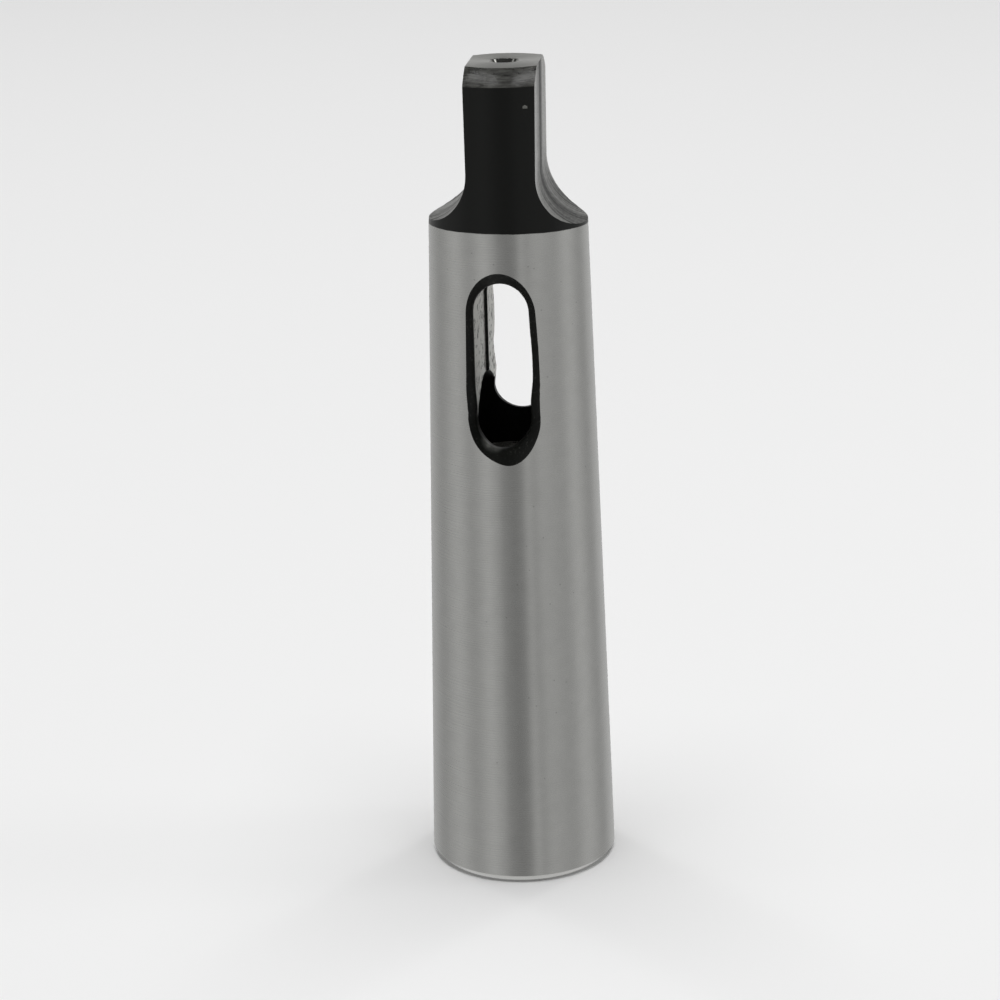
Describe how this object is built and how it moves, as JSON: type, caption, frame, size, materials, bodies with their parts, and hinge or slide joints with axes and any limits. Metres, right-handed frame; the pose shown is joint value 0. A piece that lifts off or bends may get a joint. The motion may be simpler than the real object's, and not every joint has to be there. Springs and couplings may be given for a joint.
{
  "type": "morse taper sleeve",
  "caption": "Steel reducing sleeve for self-holding machine tapers: ground outer cone, tapered socket, drift slot with bevelled rim and flatted driving tang.",
  "frame": {"origin": "centre of the large end face, on the axis, where the sleeve stands", "axes": "+Z along the axis towards the tang; the drift slot runs through along Y; the flats of the tang face +X and -X"},
  "size_m": [0.0324, 0.0324, 0.14],
  "materials": {
    "sleeve_steel": "outer taper, socket and end face ground bright; tang, slot and drilled end of the socket left blackened"
  },
  "bodies": {
    "root": {"taper_sleeve": "sleeve_steel"}
  },
  "joints": []
}
